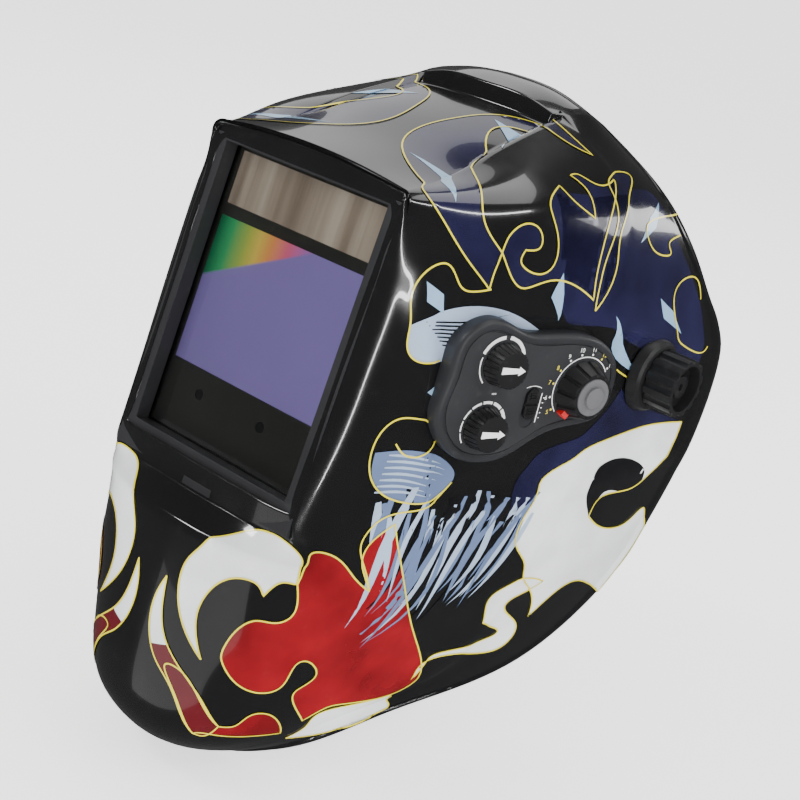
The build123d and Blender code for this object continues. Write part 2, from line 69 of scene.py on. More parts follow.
# Shell surface: spokes from the top middle round the wearer's left side to the chin.
# Each spoke has ten rings from the window's edge to the rim, in millimetres.
CAGE = [
    [(0, -153.6, 67.8), (0, -148.5, 76), (0, -144.5, 77.3), (0, -115, 85), (0, -80, 94.3),
     (0, -43, 104.4), (0, -41, 112.8), (0, -22, 116.8), (0, -11, 116.4), (0, -5, 114.6)],
    [(27, -153.6, 67.8), (29, -148.7, 75), (28, -144.7, 76.2), (26, -115, 84), (23.5, -80, 93.4),
     (21, -42, 104), (21, -40, 112.3), (21, -21, 115.8), (21, -10, 114.8), (21, -5, 112.8)],
    [(50, -153.6, 67.8), (53.5, -149.2, 72.2), (52.5, -146, 73), (48, -115, 80.6), (43.5, -80, 90.8),
     (39.5, -39, 102.4), (39, -37.5, 107.8), (41, -20, 111.2), (41.5, -9, 109), (42, -4, 106.2)],
    [(52.7, -154.5, 63), (56, -149.6, 71.4), (55.5, -146.8, 72.4), (51, -115, 81.6), (46, -80, 92.6),
     (42, -38, 105.4), (43, -32, 107.8), (46, -18, 109.4), (48, -7, 106.2), (48.5, -2, 103)],
    [(52.9, -155.5, 57), (57, -151.2, 67), (59.5, -147.3, 68.6), (65, -116, 78.5), (67, -81, 87.6),
     (67, -41, 95.4), (66.5, -31, 96.6), (67, -16, 97), (67.5, -1, 94.4), (67.5, 4, 91.8)],
    [(52.9, -157, 48), (57.5, -152.4, 56), (63, -146.5, 60), (76, -117, 69.5), (84, -84, 76),
     (88, -44, 80.4), (88.5, -32, 81), (88.5, -16, 81.2), (88, 1, 80.4), (87.5, 7, 79.2)],
    [(52.9, -159.4, 36), (57.5, -154.7, 42), (66, -147, 46), (81.5, -117, 52), (91, -84, 55),
     (98, -45, 57), (99.2, -33, 57.4), (100.4, -14, 57.5), (101, 12, 57.5), (101, 22, 57)],
    [(52.9, -162, 22), (57.5, -157.4, 26), (68, -148.5, 28), (83.5, -118, 32), (93, -84.5, 35),
     (101.6, -45, 36), (103.6, -33, 36), (105.4, -12, 36), (107.2, 19, 36), (107.6, 38, 35.5)],
    [(52.9, -165.6, 0), (57.5, -161.9, 0), (68.5, -152, 0), (83.8, -118, 1), (92.8, -84, 2),
     (101.7, -45, 3), (104.3, -32, 4), (107.5, -1, 5), (110.4, 30, 8), (112.6, 53, 10.6)],
    [(52.9, -172, -36), (57.5, -168.4, -36), (68.5, -156.5, -38), (83.2, -120, -40), (92.2, -85.5, -42),
     (101.4, -46, -43), (104, -33, -43), (107, -1, -42), (109.6, 31, -41), (111, 55.5, -40)],
    [(52.9, -176.6, -62), (57.5, -174.8, -70), (66.5, -163, -76), (79.5, -127, -81), (88.5, -90, -85),
     (96.7, -50, -87.5), (98.7, -37, -88), (102, -4, -89), (104.2, 24, -89.5), (105, 46, -90)],
    [(52.9, -178, -68), (56.5, -177, -79.5), (64.5, -170.5, -90), (73.5, -142, -112),
     (81.5, -101, -120), (88.5, -56, -123), (90.2, -44, -123.5), (93, -14, -123.8), (95, 12, -123.8),
     (96, 42, -123.5)],
    [(40, -179.5, -68.6), (42, -178.6, -80.5), (50, -183, -90.5), (60.5, -169, -131), (69, -129, -149),
     (78, -76, -158.5), (79.5, -62, -160), (82.5, -42, -162), (84.5, -24, -163.5), (85.5, -10, -164.5)],
    [(27, -179.5, -68.6), (28, -179, -81), (34, -190, -90), (45.5, -185, -137), (56, -162, -167),
     (63, -122, -177.5), (64.5, -112, -178.5), (67, -101, -179.5), (69, -92, -180.5),
     (70.5, -86, -181)],
    [(13, -179.5, -68.6), (13, -179.4, -81.3), (17, -193.5, -89.5), (24, -195.5, -141),
     (33, -188, -183), (41, -161, -196), (42.5, -152, -198.5), (44.5, -142, -200), (46, -135, -201),
     (47, -131, -201.5)],
    [(0, -179.5, -68.6), (0, -179.5, -81.5), (0, -194.5, -89), (0, -199, -145), (0, -196, -187),
     (0, -178, -206), (0, -171, -209.5), (0, -163, -212), (0, -156, -213.3), (0, -150, -213.8)],
]

# Painted shapes as (spoke, ring) on the shell's surface; a third value marks a sharp corner.
# A separate script worked out these points, and the stripes' too, from outlines read off the
# photograph. Only the shards were redrawn, at the same places.
ART = {
    "navy_hook": [(6.62, 3, 1), (5.29, 2.47), (3.13, 2.3), (1.02, 2.82), (0.33, 3.57), (0.53, 4.28),
        (1.3, 4.83), (3.18, 4.98), (4.03, 5.1, 1), (3.32, 4.74), (1.66, 4.59), (1.61, 4.04),
        (3.24, 3.26), (4.88, 2.88), (5.81, 3.12, 1), (6.2, 3.05)],
    "navy_thin": [(7.11, 4.69, 1), (6.04, 4.76), (5.34, 5.02), (4.84, 5.01), (4.52, 5.27), (4.46, 6.5),
        (4.74, 6.49), (5.34, 5.28), (6.05, 5.01), (6.81, 4.84)],
    "navy_curl": [(5.81, 3.12, 1), (5.45, 3.23), (5.25, 3.48), (5.4, 3.72), (5.74, 3.73),
        (5.78, 3.49, 1), (6.08, 3.45), (6.32, 3.75), (6.1, 3.98), (5.52, 4), (4.92, 3.93),
        (4.53, 4.17, 1), (4.94, 4.31), (5.28, 4.57, 1), (4.78, 4.55), (4.35, 4.41, 1), (4.4, 4.56),
        (4.69, 4.85), (4.62, 5.28), (5.24, 4.87), (6.25, 4.63), (6.92, 4.64, 1), (6.47, 4.04),
        (6.62, 3.5)],
    "navy_field": [(4.83, 4.04), (4.86, 4.73), (4.82, 7.1), (5.63, 7.77), (6.86, 8.33), (7.8, 8.34),
        (8.32, 8.25), (7.78, 6.78), (7.36, 4.87), (6.92, 4.17)],
    "navy_low": [(8.26, 6.46, 1), (8.55, 7.23), (8.78, 8.39, 1), (8.73, 7.37), (8.8, 6.48),
        (9.04, 4.93), (9.46, 4.65), (9.98, 4.76, 1), (9.4, 4.32), (9.01, 4.42), (8.8, 4.78),
        (8.61, 5.94)],
    "rear_flame": [(8.78, 8.39, 1), (8.73, 7.37), (8.8, 6.48), (9.04, 4.93), (9.46, 4.65),
        (10.05, 4.81), (10.65, 6.16), (11.29, 6.98, 1), (11.05, 7.16), (10.84, 7.69), (11.19, 9, 1),
        (10.68, 8.92), (10, 8.93, 1), (9.7, 8.38), (9.87, 7.97), (9.88, 7.25), (9.68, 6.74, 1),
        (9.44, 6.86), (9.41, 7.53), (9.2, 8.01), (9.01, 8.35)],
    "rear_curl": [(9.68, 6.74, 1), (9.37, 6.44), (9.15, 6.46), (9.04, 6.82), (9.1, 7.33), (9.25, 7.69),
        (9.42, 7.69), (9.44, 7.27, 1), (9.39, 7.01), (9.43, 6.8)],
    "low_flame": [(11.25, 5.17, 1), (10.75, 4.9), (10.55, 5.91), (10.69, 6.63, 1), (10.84, 6.31),
        (11.02, 5.98), (11.36, 6.76), (11.7, 7.03), (11.76, 6.27), (11.74, 4.85), (12.16, 4.89, 1),
        (11.82, 4.72), (11.64, 5), (11.52, 6.28), (11.36, 6.16)],
    "front_flame": [(13.6, 3.13, 1), (13.92, 2.88), (14.16, 2.59), (14.07, 2.27), (13.39, 1.92),
        (12.45, 1.24), (11.4, 0.99), (10.94, 1.53), (11.45, 2.23, 1), (11.73, 2.21), (12.09, 2.36, 1),
        (12.24, 2.24), (12.76, 2.25), (13.3, 2.39), (13.64, 2.62), (13.7, 2.86)],
    "red_swirl": [(13.19, 3.01), (12.85, 2.77), (12.34, 2.62), (11.97, 2.66), (11.64, 2.58),
        (11.43, 2.23, 1), (10.58, 1.74), (10.29, 2.13), (10.53, 2.56), (10.69, 2.94, 1), (10.33, 2.61),
        (9.98, 2.58), (9.72, 2.76, 1), (10.25, 3.13), (11.18, 4.01), (12.13, 4.97, 1), (12.51, 5.13),
        (12.69, 4.7), (12.81, 4.51), (13.13, 4.61, 1), (12.74, 4), (12.47, 3.83), (12.16, 3.74),
        (11.96, 3.45), (12.1, 3.37), (12.54, 3.64), (12.88, 3.64), (13.11, 3.4), (13.22, 3.17)],
    "low_strip": [(13.63, 5.5, 1), (13.13, 4.74), (12.85, 4.63), (12.7, 4.88), (12.53, 5.19, 1),
        (12.94, 7.61, 1), (13.25, 8.22), (13.56, 7.38)],
    "red_foot": [(13.63, 4, 1), (13.47, 4.07), (13.23, 3.97), (13.11, 4.16), (13.46, 4.77, 1),
        (13.53, 4.56), (13.65, 4.33), (13.84, 4.09), (13.98, 4.07, 1), (14.05, 3.53), (14.25, 3.24),
        (13.92, 3.28), (13.69, 3.58)],
    "side_lick": [(14.53, 2.46, 1), (14.72, 2.65), (14.71, 2.92), (14.44, 3.21), (14.09, 3.5),
        (13.98, 4.06, 1), (13.87, 4.14), (13.63, 4, 1), (13.68, 3.55), (13.97, 3.24), (14.29, 3.01),
        (14.48, 2.76)],
    "side_lick_red": [(14.59, 3.07, 1), (14.44, 3.21), (14.09, 3.5), (13.98, 4.06, 1), (13.87, 4.14),
        (13.63, 4, 1), (13.68, 3.55), (13.97, 3.24), (14.24, 3.05, 1)],
    "cloud_high": [(7.29, 2.11, 1), (7.07, 2.46), (6.96, 2.95), (7.14, 3.53), (7.42, 4, 1),
        (7.48, 3.45), (7.62, 2.95), (7.81, 2.68), (7.82, 2.34), (7.61, 2.15)],
    "cloud_low": [(8.94, 2.17, 1), (8.89, 2.46), (8.89, 2.82), (9.04, 3.21), (9.21, 3.3), (9.42, 3.07),
        (9.46, 2.7), (9.34, 2.4), (9.16, 2.22)],
    "shard_1": [(0.92, 2.98, 1), (2.6, 2.76, 1), (4.3, 2.6, 1), (2.7, 2.98, 1)],
    "shard_2": [(6.3, 4.14, 1), (6.85, 4.02, 1), (7.27, 4.2, 1), (6.8, 4.2, 1)],
    "shard_3": [(7.2, 5.2, 1), (7.72, 5.65, 1), (8.1, 6.7, 1), (7.55, 6.05, 1)],
    "shard_4": [(1.06, 4.58, 1), (2, 4.25, 1), (3.05, 3.98, 1), (2.05, 4.5, 1)],
    "shard_5": [(5.05, 7.5, 1), (5.32, 6.88, 1), (5.75, 6.4, 1), (5.5, 7.05, 1)],
    "shard_6": [(8.02, 2.74, 1), (8.2, 2.55, 1), (8.36, 2.8, 1)],
    "shard_7": [(6.4, 2.18, 1), (6.85, 2.24, 1), (7.1, 2.52, 1), (6.7, 2.44, 1)],
    "shard_8": [(6.9, 7.15, 1), (7.3, 7.2, 1), (7.6, 7.6, 1), (7.18, 7.46, 1)],
}
STRIPES = {
    "loop": [(8.52, 2.62, 1), (8.54, 2.33), (8.72, 2.15), (8.97, 2.12), (9.21, 2.23), (9.4, 2.49),
        (9.46, 2.84), (9.38, 3.14), (9.21, 3.3, 1)],
    "tail": [(9.21, 3.3, 1), (9.49, 3.04), (9.62, 2.65), (9.85, 2.48), (10.18, 2.53), (10.69, 2.94, 1)],
    "hook": [(8.52, 2.62, 1), (8.65, 2.81), (8.82, 2.81), (8.94, 2.66), (8.92, 2.5), (8.82, 2.38, 1)],
    "cloud_edge": [(6.62, 3.03, 1), (6.63, 2.71), (6.34, 2.56), (5.99, 2.41), (6.19, 2.14), (6.72, 2),
        (7.21, 2.09), (7.61, 2.15), (7.82, 2.34), (7.81, 2.62, 1)],
    "rear_loop": [(6.96, 8.42, 1), (6.54, 8.46), (6.47, 7.9), (6.84, 7.51), (7.45, 7.5), (7.75, 7.6),
        (7.97, 8.21), (7.89, 8.45, 1)],
    "rear_hook": [(5.26, 8.5, 1), (5.36, 6.98), (5.61, 6.68), (5.93, 6.98), (5.97, 7.43), (5.76, 7.45),
        (5.63, 8.05, 1)],
    "dash": [(8.01, 6.19, 1), (8.25, 6.89, 1)],
}

# ------------------------------------------------------------------ materials
def mix_colour(a, b, t):
    return [x * (1 - t) + y * t for x, y in zip(a, b)]


def material(name, colour, rough=0.5, metal=0.0, coat=0.0, grain=900.0, bump=0.15, vary=0.12,
             edge=0.0, wear=0.06, sheen=0.0, stretch=(1, 1, 1), depth=0.00012):
    """Procedural finish: colour mottle, smudged roughness, fine bump, light scuffs."""
    mat = bpy.data.materials.new("fin_" + name)
    mat.use_nodes = True
    tree = mat.node_tree
    node, link = tree.nodes, tree.links
    shader = node["Principled BSDF"]
    shader.inputs["Metallic"].default_value = metal
    shader.inputs["Coat Weight"].default_value = coat
    shader.inputs["Coat Roughness"].default_value = 0.03
    shader.inputs["Sheen Weight"].default_value = sheen
    place = node.new("ShaderNodeTexCoord")
    scale = node.new("ShaderNodeMapping")
    scale.inputs["Scale"].default_value = stretch
    link.new(place.outputs["Object"], scale.inputs["Vector"])

    def noise(size, detail):
        n = node.new("ShaderNodeTexNoise")
        n.inputs["Scale"].default_value = size
        n.inputs["Detail"].default_value = detail
        link.new(scale.outputs["Vector"], n.inputs["Vector"])
        return n.outputs["Fac"]

    soft, fine, scuff = noise(28.0, 3.0), noise(grain, 2.0), noise(160.0, 8.0)
    ramp = node.new("ShaderNodeValToRGB")
    ramp.color_ramp.elements[0].position = 0.3
    ramp.color_ramp.elements[1].position = 0.7
    ramp.color_ramp.elements[0].color = [c * (1 - vary) for c in colour] + [1]
    ramp.color_ramp.elements[1].color = [min(1, c * (1 + vary)) for c in colour] + [1]
    link.new(soft, ramp.inputs["Fac"])
    marks = node.new("ShaderNodeMapRange")
    marks.inputs["From Min"].default_value = 0.62
    marks.inputs["From Max"].default_value = 0.80
    marks.inputs["To Max"].default_value = wear
    link.new(scuff, marks.inputs["Value"])
    blend = node.new("ShaderNodeMix")
    blend.data_type = "RGBA"
    link.new(marks.outputs["Result"], blend.inputs["Factor"])
    link.new(ramp.outputs["Color"], blend.inputs["A"])
    blend.inputs["B"].default_value = mix_colour(colour, (0.55, 0.55, 0.55), 0.5) + [1]
    link.new(blend.outputs["Result"], shader.inputs["Base Color"])
    rub = node.new("ShaderNodeMapRange")
    rub.inputs["To Min"].default_value = max(0.02, rough * 0.8)
    rub.inputs["To Max"].default_value = min(1.0, rough * 1.25)
    link.new(scuff, rub.inputs["Value"])
    link.new(rub.outputs["Result"], shader.inputs["Roughness"])
    relief = node.new("ShaderNodeBump")
    relief.inputs["Strength"].default_value = bump
    relief.inputs["Distance"].default_value = depth
    link.new(fine, relief.inputs["Height"])
    if edge:
        rounding = node.new("ShaderNodeBevel")
        rounding.samples = 4
        rounding.inputs["Radius"].default_value = edge * MM
        link.new(rounding.outputs["Normal"], relief.inputs["Normal"])
    link.new(relief.outputs["Normal"], shader.inputs["Normal"])
    return mat


GLOSS = dict(rough=0.16, coat=1.0, grain=90.0, bump=0.012, wear=0.02)
FINISH = {
    "shell_black": material("shell_black", (0.006, 0.006, 0.0065), **GLOSS),
    "trim_charcoal": material("trim_charcoal", (0.022, 0.022, 0.024), rough=0.36, edge=0.5, bump=0.25),
    "filter_body": material("filter_body", (0.030, 0.030, 0.025), rough=0.45, edge=0.4),
    "sensor_dark": material("sensor_dark", (0.006, 0.006, 0.007), rough=0.2, coat=0.5),
    "pod_grey": material("pod_grey", (0.022, 0.023, 0.026), rough=0.42, edge=0.3, bump=0.2),
    "label_grey": material("label_grey", (0.026, 0.027, 0.030), rough=0.5, bump=0.1, edge=0.1),
    "mark_white": material("mark_white", (0.86, 0.86, 0.85), rough=0.45, vary=0.03),
    "mark_red": material("mark_red", (0.55, 0.012, 0.014), rough=0.4),
    "mark_yellow": material("mark_yellow", (0.75, 0.62, 0.06), rough=0.4, vary=0.05),
    "knob_black": material("knob_black", (0.011, 0.011, 0.012), rough=0.42, edge=0.35, bump=0.3),
    "cap_grey": material("cap_grey", (0.11, 0.11, 0.115), rough=0.38, edge=0.6, bump=0.15),
    "seal_rubber": material("seal_rubber", (0.012, 0.012, 0.012), rough=0.8, edge=0.2, bump=0.3),
    "board_green": material("board_green", (0.012, 0.09, 0.035), rough=0.4, grain=2500.0),
    "steel": material("steel", (0.52, 0.52, 0.54), rough=0.3, metal=1.0, edge=0.3, stretch=(1, 1, 12)),
    "nylon_white": material("nylon_white", (0.62, 0.62, 0.60), rough=0.5, edge=0.4),
    "gear_black": material("gear_black", (0.016, 0.016, 0.017), rough=0.5, edge=0.5, bump=0.35),
    "pad_fabric": material("pad_fabric", (0.045, 0.047, 0.052), rough=0.95, sheen=0.6,
                           grain=1800.0, bump=0.8, depth=0.0004),
    "cable_black": material("cable_black", (0.012, 0.012, 0.012), rough=0.55),
}
PAINT = {
    "navy": material("paint_navy", (0.010, 0.0095, 0.036), vary=0.5, **GLOSS),
    "white": material("paint_white", (0.80, 0.83, 0.82), **GLOSS),
    "red": material("paint_red", (0.21, 0.0022, 0.0065), vary=0.4, **GLOSS),
    "dusk": material("paint_dusk", (0.10, 0.006, 0.010), **GLOSS),
    "black": material("paint_black", (0.005, 0.005, 0.006), **GLOSS),
    "pale": material("paint_pale", (0.26, 0.42, 0.60), **GLOSS),
    "cloud": material("paint_cloud", (0.36, 0.45, 0.60), **GLOSS),
    "slate": material("paint_slate", (0.12, 0.17, 0.30), **GLOSS),
    "yellow": material("paint_yellow", (0.80, 0.68, 0.03), **GLOSS),
}


def window_height(tree):
    """Socket pair: sideways and upward place on the window, in metres."""
    node, link = tree.nodes, tree.links
    place = node.new("ShaderNodeTexCoord")
    split = node.new("ShaderNodeSeparateXYZ")
    link.new(place.outputs["Object"], split.inputs["Vector"])
    up = node.new("ShaderNodeMath")
    up.operation = "MULTIPLY_ADD"
    up.inputs[1].default_value = math.sin(LEAN)
    up.inputs[2].default_value = -MM * (WINDOW_Y * math.sin(LEAN) + WINDOW_Z * math.cos(LEAN))
    link.new(split.outputs["Y"], up.inputs[0])
    total = node.new("ShaderNodeMath")
    total.operation = "MULTIPLY_ADD"
    total.inputs[1].default_value = math.cos(LEAN)
    link.new(split.outputs["Z"], total.inputs[0])
    link.new(up.outputs["Value"], total.inputs[2])
    return split.outputs["X"], total.outputs["Value"]


def dark_glass():
    """Violet filter glass with the coating's rainbow over the wearer's upper right corner, made to glow
    faintly in its own colours: a painted glow.
    """
    mat = material("lcd_purple", (0.20, 0.15, 0.40), rough=0.22, coat=0.6, vary=0.03, grain=120.0,
                   bump=0.02)
    tree = mat.node_tree
    node, link = tree.nodes, tree.links
    shader = node["Principled BSDF"]
    x, v = window_height(tree)
    along = node.new("ShaderNodeMapRange")
    along.inputs["From Min"].default_value = -0.047
    along.inputs["From Max"].default_value = 0.007
    link.new(x, along.inputs["Value"])
    rainbow = node.new("ShaderNodeValToRGB")
    stops = [(0.0, (0.004, 0.14, 0.06)), (0.16, (0.03, 0.30, 0.10)), (0.34, (0.30, 0.38, 0.06)),
             (0.48, (0.62, 0.44, 0.07)), (0.62, (0.66, 0.25, 0.07)), (0.8, (0.62, 0.10, 0.20)),
             (1.0, (0.34, 0.13, 0.40))]
    ramp = rainbow.color_ramp
    while len(ramp.elements) < len(stops):
        ramp.elements.new(0.5)
    for element, (at, colour) in zip(ramp.elements, stops):
        element.position = at
        element.color = colour + (1,)
    link.new(along.outputs["Result"], rainbow.inputs["Fac"])
    slope = node.new("ShaderNodeMath")
    slope.operation = "MULTIPLY_ADD"
    slope.inputs[1].default_value = -0.5
    link.new(x, slope.inputs[0])
    link.new(v, slope.inputs[2])
    mask = node.new("ShaderNodeMapRange")
    mask.inputs["From Min"].default_value = 0.0285
    mask.inputs["From Max"].default_value = 0.0300
    link.new(slope.outputs["Value"], mask.inputs["Value"])
    over = node.new("ShaderNodeMix")
    over.data_type = "RGBA"
    link.new(mask.outputs["Result"], over.inputs["Factor"])
    base = shader.inputs["Base Color"].links[0].from_socket
    link.new(base, over.inputs["A"])
    link.new(rainbow.outputs["Color"], over.inputs["B"])
    link.new(over.outputs["Result"], shader.inputs["Base Color"])
    # Painted glow: the filter glass gives off a little light in its own colours, though it is no lamp.
    link.new(over.outputs["Result"], shader.inputs["Emission Color"])
    shader.inputs["Emission Strength"].default_value = 0.35
    return mat


def solar_cells():
    """Brown cell strip with soft upright streaks, made to glow faintly in its own colours: a painted glow.
    """
    mat = material("solar_brown", (0.24, 0.185, 0.145), rough=0.3, coat=0.7, vary=0.05)
    tree = mat.node_tree
    node, link = tree.nodes, tree.links
    shader = node["Principled BSDF"]
    place = node.new("ShaderNodeTexCoord")
    squeeze = node.new("ShaderNodeMapping")
    squeeze.inputs["Scale"].default_value = (95.0, 1.0, 4.0)
    link.new(place.outputs["Object"], squeeze.inputs["Vector"])
    streak = node.new("ShaderNodeTexNoise")
    streak.inputs["Scale"].default_value = 1.0
    streak.inputs["Detail"].default_value = 4.0
    link.new(squeeze.outputs["Vector"], streak.inputs["Vector"])
    tone = node.new("ShaderNodeValToRGB")
    tone.color_ramp.elements[0].position = 0.32
    tone.color_ramp.elements[0].color = (0.16, 0.11, 0.08, 1)
    tone.color_ramp.elements[1].position = 0.68
    tone.color_ramp.elements[1].color = (0.46, 0.38, 0.31, 1)
    link.new(streak.outputs["Fac"], tone.inputs["Fac"])
    link.new(tone.outputs["Color"], shader.inputs["Base Color"])
    # Painted glow: the cells give off a little light in their own colours, though they are no lamp.
    link.new(tone.outputs["Color"], shader.inputs["Emission Color"])
    shader.inputs["Emission Strength"].default_value = 0.25
    return mat


def clear_cover():
    """Clear cover plate: mostly see-through, with a glossy sheen and faint smears."""
    mat = bpy.data.materials.new("fin_lens_clear")
    mat.use_nodes = True
    tree = mat.node_tree
    node, link = tree.nodes, tree.links
    out = node["Material Output"]
    node.remove(node["Principled BSDF"])
    through = node.new("ShaderNodeBsdfTransparent")
    through.inputs["Color"].default_value = (0.93, 0.94, 0.93, 1)
    shine = node.new("ShaderNodeBsdfGlossy")
    place = node.new("ShaderNodeTexCoord")
    smear = node.new("ShaderNodeTexNoise")
    smear.inputs["Scale"].default_value = 40.0
    smear.inputs["Detail"].default_value = 5.0
    link.new(place.outputs["Object"], smear.inputs["Vector"])
    rub = node.new("ShaderNodeMapRange")
    rub.inputs["To Min"].default_value = 0.02
    rub.inputs["To Max"].default_value = 0.12
    link.new(smear.outputs["Fac"], rub.inputs["Value"])
    link.new(rub.outputs["Result"], shine.inputs["Roughness"])
    ripple = node.new("ShaderNodeBump")
    ripple.inputs["Strength"].default_value = 0.03
    ripple.inputs["Distance"].default_value = 0.0005
    link.new(smear.outputs["Fac"], ripple.inputs["Height"])
    link.new(ripple.outputs["Normal"], shine.inputs["Normal"])
    fresnel = node.new("ShaderNodeFresnel")
    fresnel.inputs["IOR"].default_value = 1.4
    mixer = node.new("ShaderNodeMixShader")
    link.new(fresnel.outputs["Fac"], mixer.inputs["Fac"])
    link.new(through.outputs["BSDF"], mixer.inputs[1])
    link.new(shine.outputs["BSDF"], mixer.inputs[2])
    link.new(mixer.outputs["Shader"], out.inputs["Surface"])
    return mat


FINISH["lcd_purple"] = dark_glass()
FINISH["solar_brown"] = solar_cells()
FINISH["lens_clear"] = clear_cover()
for name, obj in NODES.items():
    slot_name = obj.data.materials[0].name.split(".")[0] if obj.data.materials else "gear_black"
    finish = FINISH.get(slot_name, FINISH["gear_black"])
    if obj.data.materials:
        obj.data.materials[0] = finish
    else:
        obj.data.materials.append(finish)


def add_mesh(name, verts, faces, finish, body, smooth=True):
    """New mesh from millimetre points, riding on a body."""
    mesh = bpy.data.meshes.new(name)
    mesh.from_pydata([Vector(p) * MM for p in verts], [], [tuple(f) for f in faces])
    mesh.validate()
    mesh.materials.append(finish)
    for polygon in mesh.polygons:
        polygon.use_smooth = smooth
    obj = bpy.data.objects.new(name, mesh)
    bpy.context.scene.collection.objects.link(obj)
    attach(obj, body)
    return obj


# -------------------------------------------------------------- shell surface
NV, NU = 13, 10


def spline(points, breaks, n):
    """Natural cubic through the points, free to kink at the breaks, n steps a segment."""
    count = len(points)
    cuts = [0] + sorted(b for b in breaks if 0 < b < count - 1) + [count - 1]
    steps = (np.arange(n) / n)[:, None]
    out = []
    for a, b in zip(cuts[:-1], cuts[1:]):
        q = points[a:b + 1]
        k = len(q)
        m = np.zeros((k, q.shape[1]))
        if k > 2:
            system = np.zeros((k, k))
            right = np.zeros((k, q.shape[1]))
            system[0, 0] = system[-1, -1] = 1
            for i in range(1, k - 1):
                system[i, i - 1], system[i, i], system[i, i + 1] = 1, 4, 1
                right[i] = 6 * (q[i - 1] - 2 * q[i] + q[i + 1])
            m = np.linalg.solve(system, right)
        for i in range(k - 1):
            t = steps
            curve = ((1 - t) ** 3 * m[i] + t ** 3 * m[i + 1]) / 6
            out.append(curve + (q[i] - m[i] / 6) * (1 - t) + (q[i + 1] - m[i + 1] / 6) * t)
    out.append(points[-1:])
    return np.concatenate(out)


def smooth_step(a, b, x):
    t = np.clip((x - a) / (b - a), 0, 1)
    return t * t * (3 - 2 * t)


def half_surface():
    """Grid over the wearer's left half: rows run round the head, columns front to rim."""
    cage = np.array(CAGE, float)
    out_of_window = np.array([0, -math.cos(LEAN), math.sin(LEAN)])
    cage[:11, 1] += out_of_window * 2.7
    cage[:5, 2] += out_of_window * 2.3
    cage[5:11, 2] += out_of_window * 0.8
    cage[2:5, 2, 2] += 1.3
    cage[0:4, 3, 2] -= 1.2
    cage[3, 3] -= np.array([0, 0, 0.8])
    columns = []
    for j, spoke in enumerate(cage):
        kinks = {1, 2} if j > 10 else {1}
        if j <= 2:
            kinks = kinks | {5, 6}
        columns.append(spline(spoke, kinks, NV))
    columns = np.array(columns)
    ends = np.concatenate([columns[2:0:-1] * MIRROR, columns, columns[-2:-4:-1] * MIRROR])
    rows = []
    for k in range(ends.shape[1]):
        weight = smooth_step(2.6 * NV, 4.2 * NV, k)
        row = spline(ends[:, k], {4, 5}, NU) * weight + spline(ends[:, k], {4}, NU) * (1 - weight)
        rows.append(row[2 * NU:(LAST_SPOKE + 2) * NU + 1])
    return np.array(rows)


def normals_of(grid):
    """Unit normals that face away from the middle of the helmet."""
    across = np.roll(grid, -1, 1) - np.roll(grid, 1, 1)
    down = np.gradient(grid, axis=0)
    n = np.cross(across, down)
    n /= np.linalg.norm(n, axis=2, keepdims=True) + 1e-9
    return n if (n * (grid - MIDDLE)).sum() > 0 else -n


half = half_surface()
grid = np.concatenate([half, (half * MIRROR)[:, ::-1][:, 1:-1]], axis=1)
ROWS, COLS = grid.shape[:2]
normal = normals_of(grid)
side, y, z = np.abs(grid[..., 0]), grid[..., 1], grid[..., 2]
# Signed distances from the side pocket's four edges, joined with rounded corners.
above = ((z - 37) * 187 + (y + 143) * 28) / 189.1
below = -((z + 61) * 172 - (y + 117) * 19) / 173.0
ahead = (-(y + 141) * 100 - (z - 40) * 21) / 102.2
behind = y - 46
edge_gap = 4 * np.log(sum(np.exp(d / 4) for d in (above, below, ahead, behind)))
ridge = smooth_step(-2.0, 2.5, edge_gap) * (1 - smooth_step(4, 15, edge_gap))
pocket = (1.2 * ridge - 0.9 * (1 - smooth_step(-3.0, 2.0, edge_gap))) * smooth_step(60, 70, side)
# The rim thickens over its last few millimetres.
steps = np.linalg.norm(np.diff(grid, axis=0), axis=2)
to_rim = np.concatenate([np.cumsum(steps[::-1], 0)[::-1], np.zeros((1, COLS))])
lip = 0.9 * smooth_step(5.6, 4.4, to_rim)
grid = grid + normal * (pocket + lip)[..., None]
normal = normals_of(grid)
inner = grid - normal * WALL
flat = (np.hypot(inner[..., 1], inner[..., 2]) < 19) & (np.abs(inner[..., 0]) > 60)
boss_seat = np.sign(inner[..., 0]) * np.maximum(np.abs(inner[..., 0]), BOSS_IN)
inner[..., 0] = np.where(flat, boss_seat, inner[..., 0])


def on_shell(s, r):
    """Point and normal at a spoke and ring."""
    a, b = (s * NU) % COLS, min(max(r, 0.0), 9.0) * NV
    i, j = int(a), min(int(b), ROWS - 2)
    fa, fb = a - i, b - j
    k = (i + 1) % COLS
    i = i % COLS

    def at(g):
        here = g[j, i] * (1 - fa) + g[j, k] * fa
        beyond = g[j + 1, i] * (1 - fa) + g[j + 1, k] * fa
        return here * (1 - fb) + beyond * fb

    n = at(normal)
    return at(grid), n / (np.linalg.norm(n) + 1e-9)


POD_U = np.array([math.sin(POD_TURN), math.cos(POD_TURN), 0])
POD_W = np.array([math.cos(POD_TURN), -math.sin(POD_TURN), 0])
POD_ORIGIN = np.array([101.1, -78.0, -9.0])
POD_OUTLINE = [(-42, 37.6), (-28, 35.5), (-14, 32), (10, 32.6), (28, 28.6), (38, 20), (41, 8),
               (36, -7), (19, -12), (2, -17), (-13, -26), (-28, -29), (-43, -26), (-55, -16),
               (-59.5, -3), (-57, 13), (-55, 28)]


def pod_point(u, v, w):
    """Point u rearwards, v upwards and w outwards from the pod's face."""
    return POD_ORIGIN + POD_U * u + np.array([0, 0, 1.0]) * v + POD_W * w


def closed_curve(points, n):
    """Smooth closed curve through flat points."""
    q = np.array(points, float)
    wrapped = np.concatenate([q[-4:], q, q[:5]])
    return spline(wrapped, set(), n)[4 * n:(4 + len(q)) * n]


